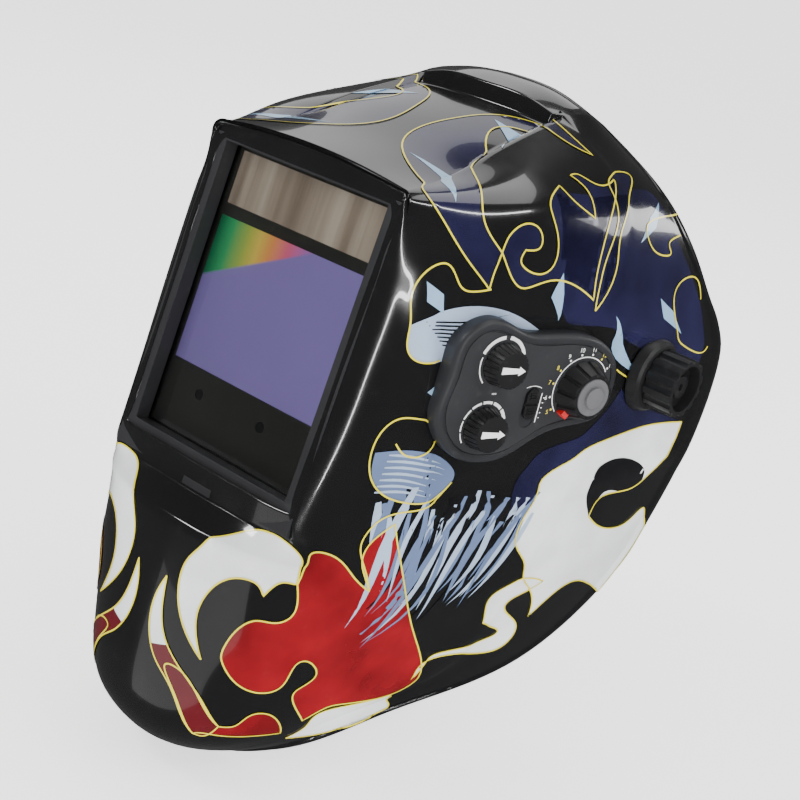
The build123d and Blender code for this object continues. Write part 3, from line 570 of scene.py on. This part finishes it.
def inset(curve, d):
    """Closed curve moved inwards by d."""
    tangent = np.roll(curve, -1, 0) - np.roll(curve, 1, 0)
    tangent /= np.linalg.norm(tangent, axis=1, keepdims=True)
    x, yy = curve[:, 0], curve[:, 1]
    area = (x * np.roll(yy, -1) - np.roll(x, -1) * yy).sum()
    turn = np.stack([-tangent[:, 1], tangent[:, 0]], 1) * (1 if area > 0 else -1)
    return curve + turn * d


def inside(points, curve):
    """Which flat points lie inside a closed curve."""
    points = np.asarray(points, float)
    hit = np.zeros(len(points), bool)
    for a, b in zip(curve, np.roll(curve, -1, 0)):
        cross = (a[1] > points[:, 1]) != (b[1] > points[:, 1])
        with np.errstate(divide="ignore", invalid="ignore"):
            at = (b[0] - a[0]) * (points[:, 1] - a[1]) / (b[1] - a[1]) + a[0]
        hit ^= cross & (points[:, 0] < at)
    return hit


pod_curve = closed_curve(POD_OUTLINE, 8)
outer_index = np.arange(ROWS * COLS).reshape(ROWS, COLS)
quads = []
for j in range(ROWS - 1):
    for i in range(COLS):
        k = (i + 1) % COLS
        near, far = outer_index[j], outer_index[j + 1]
        quads.append((near[i], near[k], far[k], far[i]))
quads = np.array(quads)
flat_grid = grid.reshape(-1, 3)
# The shell is open behind the pod and round each pivot stud.
middle = flat_grid[quads].mean(1)
rel = middle - POD_ORIGIN
in_pod = inside(np.stack([rel @ POD_U, rel[:, 2]], 1), inset(pod_curve, 9.5))
in_pod &= (np.abs(rel @ POD_W) < 30) & (middle[:, 0] > 50)
in_stud = (np.hypot(middle[:, 1], middle[:, 2]) < 7.5) & (np.abs(middle[:, 0]) > 60)
kept = quads[~(in_pod | in_stud)]
total = ROWS * COLS
faces = [tuple(q) for q in kept] + [tuple(int(i) + total for i in q[::-1]) for q in kept]
for row in (0, ROWS - 1):
    for i in range(COLS):
        k = (i + 1) % COLS
        a, b = outer_index[row, i], outer_index[row, k]
        strip = (a, a + total, b + total, b)
        faces.append(strip if row == 0 else strip[::-1])
verts = np.concatenate([flat_grid, inner.reshape(-1, 3)])
shell = add_mesh("helmet_shell", verts, faces, FINISH["shell_black"], "shell")
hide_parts("shell")
surface_tree = BVHTree.FromPolygons([Vector(p) for p in flat_grid],
                                    [tuple(int(i) for i in q) for q in quads])


def lathe(profile, turns, place):
    """Revolved ring: profile of (radius, height) pairs, closed; place maps local points."""
    count = len(profile)
    points, cells = [], []
    for t in range(turns):
        a = 2 * math.pi * t / turns
        for radius, height in profile:
            points.append(place(radius * math.cos(a), radius * math.sin(a), height))
        nxt = (t + 1) % turns
        for k in range(count):
            m = (k + 1) % count
            cells.append((t * count + k, nxt * count + k, nxt * count + m, t * count + m))
    return points, cells


boss_profile = [(6.05, 107.0), (6.05, BOSS_FACE), (15.0, BOSS_FACE), (16.4, 112.0), (17.6, 110.6),
                (19.0, 106.6), (19.0, BOSS_IN), (12.8, BOSS_IN), (12.8, 107.0)]
for s, word in ((-1, "right"), (1, "left")):
    points, cells = lathe(boss_profile, 64, lambda a, b, h: (s * h, a * s, b))
    add_mesh("pivot_boss_" + word, points, cells, FINISH["knob_black"], "shell",
             smooth=False)

# ----------------------------------------------------------------- paint work
def outline_of(points, closed=True, density=5):
    """Smooth path through (spoke, ring) points with sharp corners where marked."""
    pts = [tuple(p[:2]) for p in points]
    corner = [len(p) > 2 for p in points]
    if closed:
        if any(corner):
            start = corner.index(True)
            pts = pts[start:] + pts[:start + 1]
            corner = corner[start:] + corner[:start + 1]
        else:
            return closed_curve(pts, density)
    cuts = {i for i, c in enumerate(corner) if c}
    path = spline(np.array(pts, float), cuts, density)
    return path[:-1] if closed else path


def painted(curve, lift):
    """Triangles that fill a curve on the shell, following its facets."""
    cells = curve * np.array([NU, NV])
    low, high = np.floor(cells.min(0)).astype(int), np.ceil(cells.max(0)).astype(int)
    across, down = range(low[0], high[0] + 1), range(low[1], high[1] + 1)
    lattice = np.array([(i, j) for i in across for j in down], float)
    lattice = lattice[inside(lattice, cells)]
    if len(lattice):
        gap = np.array([np.abs(cells - p).max(1).min() for p in lattice])
        lattice = lattice[gap > 0.12]
    flat = np.concatenate([cells, lattice])
    n = len(cells)
    edges = [(i, (i + 1) % n) for i in range(n)]
    result = delaunay_2d_cdt([Vector(p) for p in flat], edges, [], 1, 1e-4)
    points = []
    for p in result[0]:
        at, n3 = on_shell(p[0] / NU, p[1] / NV)
        points.append(at + n3 * lift)
    return points, [tuple(f) for f in result[2]]


def oriented(points, cells):
    """Cells turned so that they face away from the middle of the helmet."""
    out = []
    for f in cells:
        a, b, c = (np.array(points[i]) for i in f[:3])
        out.append(f if np.cross(b - a, c - a) @ (a - MIDDLE) > 0 else f[::-1])
    return out


def ribbon(path, width, lift):
    """Thin band along a path on the shell."""
    places = [on_shell(s, r) for s, r in path]
    points = np.array([p for p, n in places])
    tangent = np.gradient(points, axis=0)
    out, cells = [], []
    for k, (p, n) in enumerate(places):
        t = tangent[k] / (np.linalg.norm(tangent[k]) + 1e-9)
        across = np.cross(n, t)
        across /= np.linalg.norm(across) + 1e-9
        for d in (-0.5, 0.0, 0.5):
            out.append(p + across * width * d + n * lift)
        if k:
            b = 3 * (k - 1)
            cells += [(b, b + 1, b + 4, b + 3), (b + 1, b + 2, b + 5, b + 4)]
    return out, cells


class Layer:
    """Collects painted shapes of one colour into one mesh."""

    def __init__(self):
        self.points, self.cells = [], []

    def add(self, points, cells):
        base = len(self.points)
        cells = oriented(points, cells)
        self.points += [tuple(p) for p in points]
        self.cells += [tuple(base + i for i in f) for f in cells]


COLOUR = {"navy_hook": "navy", "navy_thin": "navy", "navy_curl": "navy", "navy_field": "navy",
          "navy_low": "navy", "rear_flame": "white", "rear_curl": "black", "low_flame": "white",
          "front_flame": "white", "red_swirl": "red", "low_strip": "white", "red_foot": "red",
          "side_lick": "white", "side_lick_red": "dusk", "cloud_high": "cloud", "cloud_low": "slate"}
LIFT = {"navy": 0.20, "slate": 0.24, "white": 0.28, "red": 0.28, "dusk": 0.33, "cloud": 0.28,
        "pale": 0.34, "black": 0.40, "yellow": 0.48}
STRIPED = ["navy_hook", "navy_thin", "navy_curl", "rear_flame", "low_flame", "front_flame",
           "red_swirl", "low_strip", "red_foot", "side_lick"]
layers = {colour: Layer() for colour in PAINT}


def both_sides(curve):
    """The curve and its mirror image on the helmet's other side."""
    return [curve, (curve * np.array([-1, 1]) + np.array([2 * LAST_SPOKE, 0]))[::-1]]


def paint(curve, colour, lift=None):
    """Fill a curve with one colour on both sides."""
    for c in both_sides(curve):
        layers[colour].add(*painted(c, lift or LIFT[colour]))


def stripe(curve, closed=True):
    """Pinstripe along a curve on both sides."""
    path = np.concatenate([curve, curve[:1]]) if closed else curve
    for c in both_sides(path):
        layers["yellow"].add(*ribbon(c, STRIPE_WIDTH, LIFT["yellow"]))


for name, points in ART.items():
    curve = outline_of(points)
    paint(curve, "pale" if name.startswith("shard") else COLOUR[name])
    if name in STRIPED:
        stripe(outline_of(points, density=8))
for name, points in STRIPES.items():
    stripe(outline_of(points, closed=False, density=8), closed=False)


def brush(start, end, bend, width, colour, lift):
    """Tapered brush stroke between two places on the shell."""
    start, end = np.array(start, float), np.array(end, float)
    along = end - start
    off = np.array([-along[1], along[0]])
    left, right = [], []
    for k in range(9):
        t = k / 8
        mid = start + along * t + off * bend * math.sin(math.pi * t)
        taper = math.sin(math.pi * (0.08 + 0.92 * t) ** 0.7)
        breadth = off / (np.linalg.norm(off) + 1e-9) * width * taper
        left.append(mid + breadth)
        right.append(mid - breadth)
    curve = np.array(left + right[::-1])
    paint(curve, colour, lift)


for k in range(34):
    t = k / 33
    s0, r0 = 9.25 + 0.5 * random.random(), 2.45 + 2.3 * t
    s1, r1 = 10.6 + 1.1 * random.random() * (1 - abs(t - 0.5)), 2.95 + 1.5 * t
    shade = ("cloud", "slate", "slate", "cloud", "black")[k % 5]
    width = 0.035 + 0.03 * random.random()
    brush((s0, r0), (s1, r1), 0.10 * math.sin(2.1 * k), width, shade, 0.25 + 0.012 * (k % 9))
for k in range(9):
    t = k / 8
    brush((7.22 + 0.5 * t, 2.3 + 0.05 * k), (7.12 + 0.62 * t, 3.5 - 0.5 * t), -0.06, 0.014, "black", 0.40)
for k in range(7):
    t = k / 6
    brush((8.95 + 0.42 * t, 2.35), (9.02 + 0.36 * t, 3.05 + 0.1 * math.sin(k)), 0.05, 0.016, "cloud", 0.34)
for colour, layer in layers.items():
    if layer.cells:
        add_mesh("paint_" + colour, layer.points, layer.cells, PAINT[colour], "shell")

# ---------------------------------------------------------------- control pod
dense = closed_curve(POD_OUTLINE, 10)
count = len(dense)
# The case reaches down to the shell all the way round.
skirt = []
for u, v in dense:
    origin = Vector(pod_point(u, v, 6.0))
    hit = surface_tree.ray_cast(origin, Vector(-POD_W), 60.0)
    skirt.append(6.0 - hit[3] - 1.2 if hit[0] is not None else -10.0)
skirt = np.minimum(np.array(skirt), -2.0)
rings = [(None, 0.0), (-2.4, 0.0), (-1.1, 0.3), (-0.25, 0.95), (0.25, 1.9), (0.42, 3.0),
         (0.38, 4.2), (0.0, 4.5)]
points = []
for w, d in rings:
    ring = inset(dense, d)
    for k, (u, v) in enumerate(ring):
        points.append(pod_point(u, v, skirt[k] if w is None else w))
cells = []
for j in range(len(rings) - 1):
    for k in range(count):
        m = (k + 1) % count
        near, far = j * count, (j + 1) * count
        cells.append((near + k, near + m, far + m, far + k))
cells.append(tuple(range((len(rings) - 1) * count, len(rings) * count))[::-1])
housing = add_mesh("pod_case", points, cells, FINISH["pod_grey"], "shell")
housing.data.polygons[len(cells) - 1].use_smooth = False
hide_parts("pod_housing", "pod_gasket")


class Print(Layer):
    """Flat printed marks on the pod's label."""

    def arc(self, centre, r0, r1, a0, a1):
        n = max(2, int(abs(a1 - a0) / 4))
        base = len(self.points)
        for k in range(n + 1):
            a = math.radians(a0 + (a1 - a0) * k / n)
            for r in (r0, r1):
                u, v = centre[0] + r * math.cos(a), centre[1] + r * math.sin(a)
                self.points.append(tuple(pod_point(u, v, PRINT_HEIGHT)))
            if k:
                b = base + 2 * (k - 1)
                self.cells.append((b, b + 1, b + 3, b + 2) if a1 > a0 else (b, b + 2, b + 3, b + 1))

    def bar(self, u0, u1, v0, v1):
        base = len(self.points)
        for u, v in ((u0, v0), (u1, v0), (u1, v1), (u0, v1)):
            self.points.append(tuple(pod_point(u, v, PRINT_HEIGHT)))
        self.cells.append((base, base + 1, base + 2, base + 3))


SENS, DELAY, SHADE, SWITCH = (-31.0, 18.3), (-33.0, -11.4), (18.8, 6.6), (-8.5, -2.1)
YELLOW_MARKS = (0, 2, 3, 7)
white, yellow = Print(), Print()


def shade_mark(k, radius):
    """Place of the shade dial's mark number k, at a radius."""
    a = math.radians(214 - 22 * k)
    return SHADE[0] + radius * math.cos(a), SHADE[1] + radius * math.sin(a)


white.arc(SENS, 11.3, 13.0, 158, 96)
white.arc(SENS, 11.3, 13.0, 84, 22)
white.arc(SENS, 11.5, 12.1, 228, 166)
white.arc(SENS, 11.5, 12.1, 14, -28)
for k in range(8):
    a = 218 - 29 * k
    white.arc(DELAY, 11.2, 11.7 + 0.2 * k, a, a - 25)
white.arc(SHADE, 15.5, 16.0, 222, 34)
for k in range(9):
    ink = yellow if k in YELLOW_MARKS else white
    ink.arc(shade_mark(k, 17.1), 0.0, 0.55, 0, 360)
white.arc(SWITCH, 10.2, 10.5, 115, 65)
white.bar(SWITCH[0] + 5.2, SWITCH[0] + 5.7, SWITCH[1] - 7, SWITCH[1] + 7)
for k in range(5):
    u, v = SENS[0] + 0.5 * k, SWITCH[1] + 2.4 * k
    white.bar(u - 1.0, u - 0.75, SENS[1] - 14.2, SENS[1] - 13.4)
    white.bar(SWITCH[0] + 6.6, SWITCH[0] + 7.2 + 0.12 * k, v - 5, v - 4.6)


def numeral(text, u, v, size, ink):
    """Plain number printed on the pod's label."""
    curve = bpy.data.curves.new("n", "FONT")
    curve.body = text
    curve.size = size
    curve.align_x = "CENTER"
    curve.align_y = "CENTER"
    temp = bpy.data.objects.new("n", curve)
    mesh = bpy.data.meshes.new_from_object(temp)
    base = len(ink.points)
    for vert in mesh.vertices:
        ink.points.append(tuple(pod_point(u + vert.co.x, v + vert.co.y, PRINT_HEIGHT)))
    for polygon in mesh.polygons:
        ink.cells.append(tuple(base + i for i in polygon.vertices))
    bpy.data.objects.remove(temp)
    bpy.data.curves.remove(curve)
    bpy.data.meshes.remove(mesh)


for k in range(9):
    ink = yellow if k in YELLOW_MARKS else white
    numeral(str(5 + k), *shade_mark(k, 19.4), 3.0, ink)


# ----------------------------------------------------------------- window brow
def window_point(x, v, d):
    """Point x sideways, v up the window and d out of it, from the window's middle."""
    y_at = WINDOW_Y + v * math.sin(LEAN) - d * math.cos(LEAN)
    return np.array([x, y_at, WINDOW_Z + v * math.cos(LEAN) + d * math.sin(LEAN)])


ARCH_HALF = 16
arch = []
for k in range(2 * ARCH_HALF + 1):
    t = k / ARCH_HALF - 1
    arch.append((55.8 * t, 72.6 + 3.6 * (1 - abs(t) ** 1.8)))
points, cells = [], []
for k, (x, v) in enumerate(arch):
    points += [window_point(x, 69.6, -3.0), window_point(x, 69.6, -0.5),
               window_point(x, v + 0.4, -0.5), window_point(x, v + 0.4, -3.0)]
    if k:
        b = 4 * (k - 1)
        for m in range(4):
            n = (m + 1) % 4
            cells.append((b + m, b + 4 + m, b + 4 + n, b + n))
cells += [(3, 2, 1, 0), tuple(8 * ARCH_HALF + m for m in range(4))]
brow = add_mesh("brow_arch", points, cells, FINISH["trim_charcoal"], "shell",
                smooth=False)
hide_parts("brow_trim")
add_mesh("label_print_white", white.points, white.cells, FINISH["mark_white"], "shell",
         smooth=False)
add_mesh("label_print_yellow", yellow.points, yellow.cells, FINISH["mark_yellow"], "shell",
         smooth=False)

# Grip ribs on the range switch
ribs, cells = [], []
for v0 in (-4.6, -3.4, -2.2, 2.9, 4.1, 5.3):
    base = len(ribs)
    for w in (1.45, 2.0):
        grow = 0.0 if w < 1.9 else 0.15
        for u, v in ((-2.0, 0.0), (2.0, 0.0), (2.0, 0.6), (-2.0, 0.6)):
            du = -grow if u > 0 else grow
            dv = grow if v == 0 else -grow
            ribs.append(tuple(pod_point(SWITCH[0] + u + du, SWITCH[1] + 1.9 + v0 - 0.4 + v + dv, w)))
    cells += [tuple(base + i for i in f) for f in
              ((3, 2, 1, 0), (4, 5, 6, 7), (0, 1, 5, 4), (1, 2, 6, 5), (2, 3, 7, 6), (3, 0, 4, 7))]
add_mesh("switch_ribs", ribs, cells, FINISH["knob_black"], "switch", smooth=False)

# ------------------------------------------------------------------ soft pads
SLOPE = math.radians(13.3)
BAND_Y = np.array([0, math.cos(SLOPE), -math.sin(SLOPE)])
BAND_N = np.array([0, math.sin(SLOPE), math.cos(SLOPE)])


def soft_band(name, centre_y, half_x, half_y, grow, thick, z0, z1, span, front, nodes, body):
    """Stuffed band following the headband's ellipse, rounded and quilted."""
    around, ring = 97, 28
    points, cells = [], []
    for k in range(around):
        t = 2 * k / (around - 1) - 1
        a = span * t
        taper = max(0.10, 1 - abs(t) ** 14)
        x, yy = half_x * math.sin(a), centre_y + front * half_y * math.cos(a)
        nx, ny = math.sin(a) / half_x, front * math.cos(a) / half_y
        ln = math.hypot(nx, ny)
        nx, ny = nx / ln, ny / ln
        quilt = 1 - 0.10 * math.exp(-((t * 4 - round(t * 4)) * 9) ** 2) * (abs(t) < 0.9)
        for m in range(ring):
            b = 2 * math.pi * m / ring
            cz, cw = math.cos(b), math.sin(b)
            pz = math.copysign(abs(cz) ** 0.45, cz)
            pw = math.copysign(abs(cw) ** 0.7, cw)
            depth = grow - thick * (0.5 - 0.5 * pw) * (quilt if pw < 0 else 1)
            depth = grow - (grow - depth) * taper
            height = (z0 + z1) / 2 + (z1 - z0) / 2 * pz * (0.86 + 0.14 * taper)
            p = np.array([x + nx * depth, 0, 0]) + BAND_Y * (yy + ny * depth) + BAND_N * height
            points.append(p + np.array([0, 0, 18.0]))
    for k in range(around - 1):
        for m in range(ring):
            n = (m + 1) % ring
            cells.append((k * ring + m, k * ring + n, (k + 1) * ring + n, (k + 1) * ring + m))
    cells.append(tuple(range(ring))[::-1])
    cells.append(tuple((around - 1) * ring + m for m in range(ring)))
    pad = add_mesh(name, points, cells, FINISH["pad_fabric"], body)
    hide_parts(*nodes)


HEAD_HALF = 77.0                     # half the headband's inside width
soft_band("soft_sweatband", -20.0, HEAD_HALF, 73.0, -0.3, 6.6, -13.5, 13.5,
          math.asin(66 / HEAD_HALF), -1, ["sweatband"], "headgear")
soft_band("soft_nape_pad", 48.0, HEAD_HALF, 50.0, 2.0, 7.4, -14.0, 8.0,
          math.asin(30 / HEAD_HALF), 1, ["nape_pad"], "nape")

# ---------------------------------------------------------------------- stage
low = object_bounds()[0][2] - 0.0005
reach = 60.0
floor_mesh = bpy.data.meshes.new("floor")
floor_mesh.from_pydata([(-reach, -reach, low), (reach, -reach, low), (reach, reach, low),
                        (-reach, reach, low)], [], [(0, 1, 2, 3)])
floor_finish = material("floor", (0.84, 0.84, 0.84), rough=0.75, vary=0.01, grain=50.0, bump=0.02,
                        wear=0.0)
floor_mesh.materials.append(floor_finish)
floor = bpy.data.objects.new("floor", floor_mesh)
bpy.context.scene.collection.objects.link(floor)
# The floor glows a little, blocks no light from below and isn't seen in reflections.
floor.visible_glossy = False
floor.visible_shadow = False
glow = floor_finish.node_tree.nodes["Principled BSDF"]
glow.inputs["Emission Color"].default_value = (1, 1, 1, 1)
glow.inputs["Emission Strength"].default_value = 1.5

world = bpy.data.worlds.new("studio")
bpy.context.scene.world = world
world.use_nodes = True
sky = world.node_tree.nodes["Background"]
sky.inputs["Color"].default_value = (1, 1, 1, 1)
# Reflections see a dim room, so that gloss black stays black.
rays = world.node_tree.nodes.new("ShaderNodeLightPath")
dimmer = world.node_tree.nodes.new("ShaderNodeMapRange")
dimmer.inputs["To Min"].default_value = 1.0
dimmer.inputs["To Max"].default_value = 0.07
world.node_tree.links.new(rays.outputs["Is Glossy Ray"], dimmer.inputs["Value"])
world.node_tree.links.new(dimmer.outputs["Result"], sky.inputs["Strength"])


def softbox(name, at, aim, width, height, power):
    """Rectangular lamp at a place, aimed at another."""
    lamp = bpy.data.lights.new(name, "AREA")
    lamp.shape = "RECTANGLE"
    lamp.size, lamp.size_y = width, height
    lamp.energy = power
    obj = bpy.data.objects.new(name, lamp)
    bpy.context.scene.collection.objects.link(obj)
    turned = (Vector(aim) - Vector(at)).to_track_quat("-Z", "Y").to_matrix().to_4x4()
    obj.matrix_world = Matrix.Translation(Vector(at)) @ turned


softbox("key", (-1.1, -1.5, 1.7), (0, -0.05, 0), 0.7, 0.5, 22.0)
softbox("strip", (1.5, -1.0, 0.35), (0.05, -0.05, 0), 0.05, 1.5, 9.0)
softbox("side", (1.6, 0.2, 1.5), (0.05, -0.05, 0), 1.3, 0.07, 9.0)
softbox("top", (0.1, 0.5, 1.9), (0, 0, 0), 1.6, 1.2, 12.0)
softbox("back", (-1.3, 1.2, 1.2), (0, 0, 0), 1.7, 1.1, 5.0)
softbox("low_front", (-0.1, -1.15, -0.78), (0, -0.15, -0.13), 1.3, 0.6, 1.4)
softbox("rear_side", (1.0, 1.4, 0.66), (0.1, 0, 0), 0.9, 0.30, 5.0)

camera_data = bpy.data.cameras.new("camera")
camera_data.lens = 70.3
camera_data.sensor_width = 36.0
camera_data.clip_start = 0.02
camera = bpy.data.objects.new("camera", camera_data)
bpy.context.scene.collection.objects.link(camera)
right = Vector((0.7424, 0.6302, 0.2272)).normalized()
ahead_axis = Vector((-0.5603, 0.7700, -0.3051)).normalized()
up = right.cross(ahead_axis).normalized()
right = ahead_axis.cross(up).normalized()
turn = Matrix((right, up, -ahead_axis)).transposed().to_4x4()
camera.matrix_world = Matrix.Translation(Vector((0.44306, -0.65454, 0.19013))) @ turn
bpy.context.scene.camera = camera
